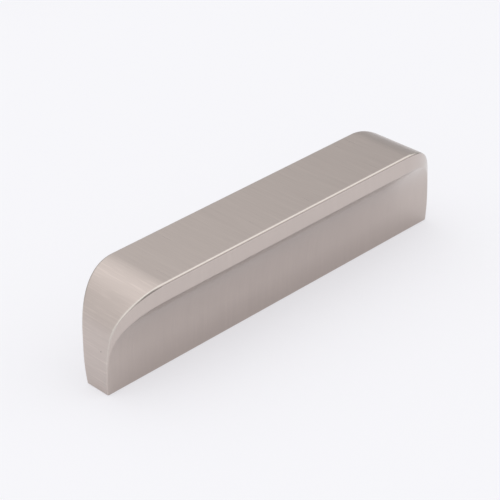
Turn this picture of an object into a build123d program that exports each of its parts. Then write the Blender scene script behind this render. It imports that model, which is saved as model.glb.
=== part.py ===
# Cabinet pull: one solid zinc casting with a brushed face, screwed on from behind the drawer front.
# Millimetres. X runs along the pull, Y across it, Z away from the drawer front.
# The origin is the middle of the mounting face, which lies on Z = 0.
#
# The form is three profiles that cut each other. The side view gives the flat top, the broad
# shoulders and the slightly bowed ends. The plan view narrows towards both ends. The
# cross-section scoops each long side in from a lip down to a narrow foot.

import os
from math import acos, atan2, degrees, hypot, radians, sin, sqrt, tan

from build123d import *

# Side view, seen square on to a long side. The spacing of the screws sets the pull's length.
screw_spacing = 96.0
end_overhang = 6.15
height = 26.0
end_bow_radius = 57.0
widest_height = 4.4
shoulder_radius = 13.8

# Plan view, seen from above. At its ends the pull is still a little wider than its foot.
top_width = 18.8
taper_length = 14.25
end_margin = 0.2

# Cross-section, seen from one end
foot_width = 7.4
wall_height = 8.5
wall_lean = 4.0
lip_height = 4.6

# Edges softened by the linishing belt
brow_round = 0.6
crease_round = 0.4
foot_round = 0.3

# Two blind screw holes in the foot, tapped M4
tap_radius = 1.65
hole_depth = 16.0
drill_point_angle = 118.0
mouth_chamfer = 0.4
mouth_angle = 90.0

# Side view: where the bowed ends meet the foot and the line of the top
half_length = screw_spacing / 2 + end_overhang
bow_centre = half_length - end_bow_radius
foot_reach = bow_centre + sqrt(end_bow_radius**2 - widest_height**2)
top_reach = bow_centre + sqrt(end_bow_radius**2 - (height - widest_height) ** 2)

# Plan view: each taper is an arc through the pull's end, carried on until both sides meet
straight_reach = half_length - taper_length
taper_depth = top_width / 2 - (foot_width / 2 + end_margin)
taper_radius = (taper_length**2 + taper_depth**2) / (2 * taper_depth)
taper_angle = degrees(acos(1 - top_width / 2 / taper_radius))

# Cross-section: the cove leaves the wall smoothly, reaches the lip at the crease and runs
# on past it by the round there
wall_top = (foot_width / 2 + wall_height * tan(radians(wall_lean)), wall_height)
cove_rise = height - lip_height - wall_height
cove_reach = top_width / 2 - wall_top[0]
cove_turn = 2 * (degrees(atan2(cove_reach, cove_rise)) - wall_lean)
cove_radius = hypot(cove_reach, cove_rise) / (2 * sin(radians(cove_turn / 2)))
cove_overrun = degrees(crease_round / cove_radius)

# The drill's point leaves a cone at the end of each hole
drill_point_height = tap_radius / tan(radians(drill_point_angle / 2))

with BuildPart() as pull_body:
    # Side view, drawn out well past both long sides
    with BuildSketch(Plane.XZ) as side_view:
        with BuildLine():
            end = ThreePointArc((foot_reach, 0), (half_length, widest_height), (top_reach, height))
            Line((0, 0), end @ 0)
            Line(end @ 1, (0, height))
            mirror(about=Plane.YZ)
        make_face()
        fillet(side_view.vertices().group_by(Axis.Y)[-1], radius=shoulder_radius)
    extrude(amount=top_width, both=True)

    # Plan view, keeping only what lies inside it
    with BuildSketch(Plane.XY) as plan_view:
        with BuildLine():
            side = Line((0, top_width / 2), (straight_reach, top_width / 2))
            JernArc(side @ 1, (1, 0), taper_radius, -taper_angle)
            mirror(about=Plane.XZ)
            mirror(about=Plane.YZ)
        make_face()
    extrude(amount=2 * height, both=True, mode=Mode.INTERSECT)

    # The brow, where the top and ends meet the sides
    skin_edges = pull_body.edges().filter_by(Axis.Y, reverse=True).filter_by(Axis.Z, reverse=True)
    brow = skin_edges - pull_body.edges().group_by(Axis.Z)[0]
    fillet(brow, radius=brow_round)

    # Cross-section, scooping the sides under the lip
    with BuildSketch(Plane.YZ) as cross_section:
        with BuildLine():
            wall = Line((foot_width / 2, 0), wall_top)
            cove = JernArc(wall @ 1, wall % 1, cove_radius, -(cove_turn + cove_overrun))
            Polyline(cove @ 1, ((cove @ 1).X, height), (0, height))
            Line((0, 0), wall @ 0)
            mirror(about=Plane.YZ)
        make_face()
    extrude(amount=2 * half_length, both=True, mode=Mode.INTERSECT)

    # The crease, where the scooped sides run out into the lip and the ends
    fillet(pull_body.edges(Select.NEW), radius=crease_round)

    # The rim of the foot
    fillet(pull_body.edges().group_by(Axis.Z)[0], radius=foot_round)

    # Screw holes, drilled into the foot and eased at the mouth
    with Locations(Plane.XY.rotated((180, 0, 0))):
        with GridLocations(screw_spacing, 0, 2, 1):
            CounterSinkHole(tap_radius, tap_radius + mouth_chamfer, hole_depth, mouth_angle)
    with Locations(Plane.XY.offset(hole_depth)):
        with GridLocations(screw_spacing, 0, 2, 1):
            Cone(
                tap_radius,
                0,
                drill_point_height,
                align=(Align.CENTER, Align.CENTER, Align.MIN),
                mode=Mode.SUBTRACT,
            )

os.makedirs("parts", exist_ok=True)
pull_body.part.label = "pull_body"
export_step(pull_body.part, "parts/pull_body.step")
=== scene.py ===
from math import cos, radians, sin, tau

import bpy
from mathutils import Matrix, Vector

# Cabinet pull: one solid casting in brushed nickel, standing on its mounting face.
# Metres, in the frame of the part: X runs along the pull, Y across it, Z up from the mounting face.

# Camera, solved from the outline of the pull. The sensor and the lens are in millimetres.
CAMERA_PLACE = (-0.25927, -0.27098, 0.23874)
CAMERA_AZIMUTH = radians(-43.144)
CAMERA_ELEVATION = radians(31.023)
CAMERA_ROLL = radians(-2.010)
SENSOR = 36.0
LENS = 131.48
NEAREST_SEEN = 0.01

# Floor, and its own glow, which is a share of what the camera sees and of what the metal mirrors.
# The fade is a painted fall-off of the light away from the pull: the distance at which it starts and ends,
# and the brightness before and after it.
FLOOR_RADIUS = 6.0
FLOOR_SIDES = 96
FLOOR_GAP = 0.00002
FLOOR_WHITE = (0.90, 0.91, 0.93)
GLOW_WHITE = (0.96, 0.948, 0.988)
GLOW_SHARE = 0.55
MIRRORED_GLOW_SHARE = 0.19
PAINTED_FLOOR_FALLOFF = (0.17, 0.60, 1.0, 0.5)

# Plain light of the studio all round, and large soft lights in it: azimuth and elevation of the
# middle, the angle out to which the light is full, the angle at which it ends, strength
PLAIN_LIGHT = 0.395
SOFT_LIGHTS = (
    (91, 63, 6, 62, 0.83),
    (182, 7, 30, 69, 0.68),
    (-30, 45, 20, 50, 0.80),
    (38, 6, 4, 25, 0.13),
    (62, 30, 3, 22, 0.11),
    (200, 72, 5, 32, 0.50),
)

# Nickel plate, and the paler colour painted along the brow and upright corners as a highlight. The sides are
# a little smoother.
NICKEL = (0.582, 0.506, 0.470)
PAINTED_HIGHLIGHT_COLOUR = (0.70, 0.675, 0.62)
NICKEL_ROUGHNESS = 0.28
SIDE_ROUGHNESS = 0.20
BRUSHING = 0.7

# Thin clear lacquer over the plate
LACQUER = 0.3
LACQUER_ROUGHNESS = 0.25

# Skin that faces further along Y than this is a side, and is brushed from top to foot
SIDE_FACING = 0.6
TOP_TO_FOOT = (0, 0, 1)
ACROSS_PULL = (0, 1, 0)

# The painted highlight lies on the brow and the upright corners, where the skin faces partly along Y: how
# far it does where the painted highlight begins, is full, fades and ends. Where it faces down there is none.
BROW_FACING = (0.12, 0.35, 0.62, 0.73)
UPWARD_FACING = (-0.2, 0.4)
PAINTED_HIGHLIGHT_SHARE = 0.6

# Fine lines, width and length. They are fainter on the sides.
HAIR_LINES = (0.00028, 0.0120)
BROAD_LINES = (0.0012, 0.020)
LINE_DETAIL = 1
HAIR_TINT = 0.065
BROAD_TINT = 0.03
HAIR_ROUGHNESS = 0.04
SIDE_LINES = 0.7

# Longer scratches of the belt on the shoulders and ends
SCRATCHES = (0.00040, 0.0090)
SCRATCH_SHARE = (0.57, 0.70)
SCRATCH_TINT = 0.07
SHOULDER_STARTS = (0.036, 0.042)

# A pinhole in the plate of the left end. It is darkest out to this share of its radius.
PINHOLE_PLACE = (-0.05374, -0.0021, 0.0112)
PINHOLE_RADIUS = 0.00022
PINHOLE_CORE = 0.4
PINHOLE_DARK = 0.55
BLACK = (0.0, 0.0, 0.0)

# Tapped M4 holes in the foot. The thread rises over half a turn and falls over the other half.
HOLE_PLACES = (-0.048, 0.048)
HOLE_REACH = 0.00206
HOLE_TOP = 0.0175
THREAD_PITCH = 0.0007
THREAD_DEPTH = 0.00025
HALF_TURN = 0.5
BARE_ZINC = (0.42, 0.43, 0.45)
BARE_ROUGHNESS = 0.42


def link(tree, start, end):
    """Joins two sockets of a node tree."""
    tree.links.new(start, end)


def number_node(tree, operation, *values):
    """A Math node with numbers or sockets on its inputs. Returns its output."""
    node = tree.nodes.new("ShaderNodeMath")
    node.operation = operation
    for socket, value in zip(node.inputs, values):
        if isinstance(value, (int, float)):
            socket.default_value = value
        else:
            link(tree, value, socket)
    return node.outputs["Value"]


def vector_node(tree, operation, *values):
    """A Vector Math node with vectors or sockets on its inputs. Returns the node."""
    node = tree.nodes.new("ShaderNodeVectorMath")
    node.operation = operation
    for socket, value in zip(node.inputs, values):
        if isinstance(value, (tuple, Vector)):
            socket.default_value = value
        else:
            link(tree, value, socket)
    return node


def parts_of(tree, vector):
    """The X, Y and Z parts of a vector, as the outputs of a Separate XYZ node."""
    node = tree.nodes.new("ShaderNodeSeparateXYZ")
    link(tree, vector, node.inputs["Vector"])
    return node.outputs


def ramp_node(tree, value, start, end, low=0.0, high=1.0):
    """A smooth step from low at start to high at end. Returns its output."""
    node = tree.nodes.new("ShaderNodeMapRange")
    node.interpolation_type = "SMOOTHSTEP"
    link(tree, value, node.inputs["Value"])
    for name, limit in (("From Min", start), ("From Max", end), ("To Min", low), ("To Max", high)):
        node.inputs[name].default_value = limit
    return node.outputs["Result"]


def swing(tree, value, amount):
    """A number that swings by amount to each side of one as value goes from nought to one."""
    return number_node(tree, "MULTIPLY_ADD", value, 2 * amount, 1 - amount)


def colour_mix(tree, share, first, second, blend="MIX"):
    """A Mix node for colours. The share is a number or a socket, and each colour is a colour or a
    socket. Returns its output."""
    node = tree.nodes.new("ShaderNodeMix")
    node.data_type = "RGBA"
    node.blend_type = blend
    for name, value in (("Factor", share), ("A", first), ("B", second)):
        socket = node.inputs[name]
        if isinstance(value, (int, float)):
            socket.default_value = value
        elif isinstance(value, tuple):
            socket.default_value = (*value, 1)
        else:
            link(tree, value, socket)
    return node.outputs["Result"]


def mix_shaders(tree, share, first, second):
    """A Mix Shader node, where a share of nought is all first. Returns its output."""
    node = tree.nodes.new("ShaderNodeMixShader")
    for socket, value in zip(node.inputs, (share, first, second)):
        link(tree, value, socket)
    return node.outputs["Shader"]


def plain_material(name):
    """A new material with its Principled shader."""
    material = bpy.data.materials.new(name)
    material.use_nodes = True
    return material, material.node_tree, material.node_tree.nodes["Principled BSDF"]


def new_group(name, inputs, outputs):
    """An empty node group with named sockets. Returns the group and its two end nodes."""
    group = bpy.data.node_groups.new(name, "ShaderNodeTree")
    for socket, kind in inputs:
        group.interface.new_socket(socket, in_out="INPUT", socket_type=kind)
    for socket, kind in outputs:
        group.interface.new_socket(socket, in_out="OUTPUT", socket_type=kind)
    return group, group.nodes.new("NodeGroupInput"), group.nodes.new("NodeGroupOutput")


def use_group(tree, group, **values):
    """Places a group in a material with its own values. Returns the node."""
    node = tree.nodes.new("ShaderNodeGroup")
    node.node_tree = group
    for name, value in values.items():
        socket = node.inputs[name.replace("_", " ").title()]
        if isinstance(value, (int, float, tuple)):
            socket.default_value = value
        else:
            link(tree, value, socket)
    return node


def brushed_lines_group():
    """Fine uneven lines of a given width and length. They run from top to foot where On Side
    is one, and across the pull elsewhere."""
    inputs = (("Place", "NodeSocketVector"), ("On Side", "NodeSocketFloat"),
              ("Width", "NodeSocketFloat"), ("Length", "NodeSocketFloat"))
    group, start, end = new_group("brushed_lines", inputs, (("Lines", "NodeSocketFloat"),))
    across = number_node(group, "DIVIDE", 1.0, start.outputs["Width"])
    along = number_node(group, "DIVIDE", 1.0, start.outputs["Length"])
    upward = group.nodes.new("ShaderNodeMix")
    link(group, start.outputs["On Side"], upward.inputs["Factor"])
    link(group, across, upward.inputs["A"])
    link(group, along, upward.inputs["B"])
    stretch = group.nodes.new("ShaderNodeCombineXYZ")
    link(group, across, stretch.inputs["X"])
    link(group, along, stretch.inputs["Y"])
    link(group, upward.outputs["Result"], stretch.inputs["Z"])
    place = vector_node(group, "MULTIPLY", start.outputs["Place"], stretch.outputs["Vector"])
    noise = group.nodes.new("ShaderNodeTexNoise")
    noise.inputs["Scale"].default_value = 1
    noise.inputs["Detail"].default_value = LINE_DETAIL
    link(group, place.outputs["Vector"], noise.inputs["Vector"])
    link(group, noise.outputs["Fac"], end.inputs["Lines"])
    return group


def painted_brow_highlight_group():
    """A mask of the painted highlight on the brow and the upright corners, worked out from which way the
    skin faces.
    """
    inputs, outputs = (("Facing", "NodeSocketVector"),), (("Edge", "NodeSocketFloat"),)
    group, start, end = new_group("painted_brow_highlight", inputs, outputs)
    parts = parts_of(group, start.outputs["Facing"])
    sideways = number_node(group, "ABSOLUTE", parts["Y"])
    begins, full, fades, ends = BROW_FACING
    rising = ramp_node(group, sideways, begins, full)
    falling = ramp_node(group, sideways, fades, ends, 1, 0)
    upward = ramp_node(group, parts["Z"], *UPWARD_FACING)
    edge = number_node(group, "MULTIPLY", number_node(group, "MULTIPLY", rising, falling), upward)
    link(group, edge, end.inputs["Edge"])
    return group


def pinhole_group():
    """A small round mark at a given place."""
    inputs = (("Place", "NodeSocketVector"), ("Centre", "NodeSocketVector"), ("Radius", "NodeSocketFloat"))
    group, start, end = new_group("pinhole", inputs, (("Mark", "NodeSocketFloat"),))
    distance = vector_node(group, "DISTANCE", start.outputs["Place"], start.outputs["Centre"])
    share = number_node(group, "DIVIDE", distance.outputs["Value"], start.outputs["Radius"])
    link(group, ramp_node(group, share, PINHOLE_CORE, 1, 1, 0), end.inputs["Mark"])
    return group


def screw_thread_group():
    """The wall of one upright tapped hole: a mask, and the height of a helical thread."""
    inputs = (("Place", "NodeSocketVector"), ("Hole Along", "NodeSocketFloat"), ("Pitch", "NodeSocketFloat"))
    outputs = (("Inside", "NodeSocketFloat"), ("Height", "NodeSocketFloat"))
    group, start, end = new_group("screw_thread", inputs, outputs)
    parts = parts_of(group, start.outputs["Place"])
    along = number_node(group, "SUBTRACT", parts["X"], start.outputs["Hole Along"])
    turns = number_node(group, "DIVIDE", number_node(group, "ARCTAN2", parts["Y"], along), tau)
    climb = number_node(group, "DIVIDE", parts["Z"], start.outputs["Pitch"])
    wave = number_node(group, "PINGPONG", number_node(group, "ADD", climb, turns), HALF_TURN)
    radius = number_node(group, "SQRT", number_node(
        group, "ADD", number_node(group, "MULTIPLY", along, along),
        number_node(group, "MULTIPLY", parts["Y"], parts["Y"])))
    within = number_node(group, "LESS_THAN", radius, HOLE_REACH)
    below = number_node(group, "LESS_THAN", parts["Z"], HOLE_TOP)
    link(group, number_node(group, "MULTIPLY", within, below), end.inputs["Inside"])
    link(group, wave, end.inputs["Height"])
    return group


def brush_direction(tree, facing, on_side):
    """The tangent along which the fine scratches scatter light. The sides are brushed from top
    to foot, and the top and the ends across the pull."""
    choice = tree.nodes.new("ShaderNodeMix")
    choice.data_type = "VECTOR"
    link(tree, on_side, choice.inputs["Factor"])
    for scratches, socket in ((ACROSS_PULL, "A"), (TOP_TO_FOOT, "B")):
        across = vector_node(tree, "CROSS_PRODUCT", scratches, facing)
        link(tree, across.outputs["Vector"], choice.inputs[socket])
    return choice.outputs["Result"]


def brushed_nickel():
    """Satin nickel plate over the casting, brushed and lacquered, with a painted highlight along the
    brow and upright corners, a pinhole and bare tapped holes."""
    material, tree, shader = plain_material("brushed_nickel")
    position = tree.nodes.new("ShaderNodeTexCoord")
    place, facing = position.outputs["Object"], position.outputs["Normal"]
    sideways = number_node(tree, "ABSOLUTE", parts_of(tree, facing)["Y"])
    on_side = number_node(tree, "GREATER_THAN", sideways, SIDE_FACING)
    off_side = number_node(tree, "SUBTRACT", 1.0, on_side)

    lines = brushed_lines_group()
    hair, broad, scratch = (
        use_group(tree, lines, place=place, on_side=on_side, width=width, length=length).outputs["Lines"]
        for width, length in (HAIR_LINES, BROAD_LINES, SCRATCHES)
    )
    from_middle = number_node(tree, "ABSOLUTE", parts_of(tree, place)["X"])
    toward_end = ramp_node(tree, from_middle, *SHOULDER_STARTS)
    scratched = number_node(tree, "MULTIPLY", ramp_node(tree, scratch, *SCRATCH_SHARE), toward_end)
    scratched = number_node(tree, "MULTIPLY", scratched, off_side)

    tint = number_node(tree, "MULTIPLY", swing(tree, hair, HAIR_TINT), swing(tree, broad, BROAD_TINT))
    strength = number_node(tree, "MULTIPLY_ADD", on_side, SIDE_LINES - 1, 1.0)
    tint = number_node(tree, "MULTIPLY_ADD", number_node(tree, "SUBTRACT", tint, 1.0), strength, 1.0)
    tint = number_node(tree, "MULTIPLY_ADD", scratched, SCRATCH_TINT, tint)
    # Painted highlight: the brow and upright corners are mixed towards a paler colour.
    edge = use_group(tree, painted_brow_highlight_group(), facing=facing).outputs["Edge"]
    highlight_share = number_node(tree, "MULTIPLY", edge, PAINTED_HIGHLIGHT_SHARE)
    colour = colour_mix(tree, highlight_share, NICKEL, PAINTED_HIGHLIGHT_COLOUR)
    colour = colour_mix(tree, 1.0, colour, tint, "MULTIPLY")

    pinhole = use_group(tree, pinhole_group(), place=place, centre=PINHOLE_PLACE, radius=PINHOLE_RADIUS)
    darkened = number_node(tree, "MULTIPLY", pinhole.outputs["Mark"], PINHOLE_DARK)
    colour = colour_mix(tree, darkened, colour, BLACK)
    by_zone = number_node(tree, "MULTIPLY_ADD", on_side, SIDE_ROUGHNESS - NICKEL_ROUGHNESS, NICKEL_ROUGHNESS)
    roughness = number_node(tree, "MULTIPLY", swing(tree, hair, HAIR_ROUGHNESS), by_zone)

    thread = screw_thread_group()
    height = 0.0
    for hole in HOLE_PLACES:
        bore = use_group(tree, thread, place=place, hole_along=hole, pitch=THREAD_PITCH)
        inside = bore.outputs["Inside"]
        colour = colour_mix(tree, inside, colour, BARE_ZINC)
        rough_bore = number_node(tree, "MULTIPLY", inside, BARE_ROUGHNESS - NICKEL_ROUGHNESS)
        roughness = number_node(tree, "ADD", roughness, rough_bore)
        ridges = number_node(tree, "MULTIPLY", bore.outputs["Height"], inside)
        height = number_node(tree, "ADD", height, ridges)

    bump = tree.nodes.new("ShaderNodeBump")
    bump.inputs["Distance"].default_value = THREAD_DEPTH
    link(tree, height, bump.inputs["Height"])
    link(tree, bump.outputs["Normal"], shader.inputs["Normal"])
    link(tree, colour, shader.inputs["Base Color"])
    link(tree, roughness, shader.inputs["Roughness"])
    link(tree, brush_direction(tree, facing, on_side), shader.inputs["Tangent"])
    shader.inputs["Metallic"].default_value = 1
    shader.inputs["Anisotropic"].default_value = BRUSHING
    shader.inputs["Coat Weight"].default_value = LACQUER
    shader.inputs["Coat Roughness"].default_value = LACQUER_ROUGHNESS
    return material


def make_camera():
    """The camera of the photograph, turned a little about its own axis."""
    azimuth, elevation, roll = CAMERA_AZIMUTH, CAMERA_ELEVATION, CAMERA_ROLL
    back = Vector((sin(azimuth) * cos(elevation), -cos(azimuth) * cos(elevation), sin(elevation)))
    level = Vector((cos(azimuth), sin(azimuth), 0))
    upright = back.cross(level)
    right = cos(roll) * level + sin(roll) * upright
    data = bpy.data.cameras.new("camera")
    data.sensor_width = SENSOR
    data.lens = LENS
    data.clip_start = NEAREST_SEEN
    data.clip_end = 2 * FLOOR_RADIUS
    camera = bpy.data.objects.new("camera", data)
    bpy.context.scene.collection.objects.link(camera)
    turn = Matrix((right, back.cross(right), back)).transposed()
    camera.matrix_world = Matrix.LocRotScale(Vector(CAMERA_PLACE), turn, None)
    bpy.context.scene.camera = camera


def make_floor():
    """A wide pale floor, just under the mounting face. What the camera and the metal see of it is
    partly its own glow, so that the shadow stays soft. Far from the pull its colour and glow are
    darkened, a painted fall-off of the light, and from below it is clear, so that the foot can be seen."""
    bpy.ops.object.select_all(action="DESELECT")
    bpy.ops.mesh.primitive_circle_add(
        vertices=FLOOR_SIDES, radius=FLOOR_RADIUS, fill_type="NGON", location=(0, 0, -FLOOR_GAP))
    floor = bpy.context.object
    floor.name = "floor"
    material, tree, shader = plain_material("floor_white")
    place = tree.nodes.new("ShaderNodeTexCoord").outputs["Object"]
    distance = vector_node(tree, "LENGTH", place).outputs["Value"]
    # Painted fall-off of the light: the floor's colour and glow darken far from the pull.
    light = ramp_node(tree, distance, *PAINTED_FLOOR_FALLOFF)
    link(tree, colour_mix(tree, 1.0, FLOOR_WHITE, light, "MULTIPLY"), shader.inputs["Base Color"])
    shader.inputs["Roughness"].default_value = 1
    shader.inputs["Specular IOR Level"].default_value = 0
    glow = tree.nodes.new("ShaderNodeEmission")
    link(tree, colour_mix(tree, 1.0, GLOW_WHITE, light, "MULTIPLY"), glow.inputs["Color"])

    ray = tree.nodes.new("ShaderNodeLightPath").outputs
    mirrored = number_node(tree, "MAXIMUM", ray["Is Glossy Ray"], ray["Is Transmission Ray"])
    share = number_node(tree, "MULTIPLY", mirrored, MIRRORED_GLOW_SHARE)
    share = number_node(tree, "MULTIPLY_ADD", ray["Is Camera Ray"], GLOW_SHARE, share)
    upper = mix_shaders(tree, share, shader.outputs["BSDF"], glow.outputs["Emission"])
    clear = tree.nodes.new("ShaderNodeBsdfTransparent").outputs["BSDF"]
    from_below = tree.nodes.new("ShaderNodeNewGeometry").outputs["Backfacing"]
    surface = mix_shaders(tree, from_below, upper, clear)
    link(tree, surface, tree.nodes["Material Output"].inputs["Surface"])
    floor.data.materials.append(material)


def soft_light(tree, look, azimuth, elevation, full, reach, strength):
    """How bright one large diffuser round the studio is, in the direction of look."""
    azimuth, elevation = radians(azimuth), radians(elevation)
    middle = Vector((cos(elevation) * cos(azimuth), cos(elevation) * sin(azimuth), sin(elevation)))
    toward = vector_node(tree, "DOT_PRODUCT", look, middle)
    angle = number_node(tree, "ARCCOSINE", toward.outputs["Value"])
    return ramp_node(tree, angle, radians(full), radians(reach), strength, 0)


def make_world():
    """A pale studio with large soft lights."""
    world = bpy.data.worlds.new("studio")
    bpy.context.scene.world = world
    world.use_nodes = True
    tree = world.node_tree
    look = tree.nodes.new("ShaderNodeTexCoord").outputs["Generated"]
    total = PLAIN_LIGHT
    for light in SOFT_LIGHTS:
        total = number_node(tree, "ADD", total, soft_light(tree, look, *light))
    link(tree, total, tree.nodes["Background"].inputs["Color"])


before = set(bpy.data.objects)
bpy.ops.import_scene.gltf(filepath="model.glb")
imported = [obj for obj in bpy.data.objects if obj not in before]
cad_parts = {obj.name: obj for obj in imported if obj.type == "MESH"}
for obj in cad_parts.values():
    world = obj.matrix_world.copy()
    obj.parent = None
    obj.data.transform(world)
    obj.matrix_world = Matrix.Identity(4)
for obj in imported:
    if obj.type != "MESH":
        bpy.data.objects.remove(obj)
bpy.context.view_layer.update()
bpy.context.scene.view_settings.view_transform = "Standard"
make_camera()
make_floor()
make_world()

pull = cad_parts["pull_body"]
pull.material_slots[0].material = brushed_nickel()
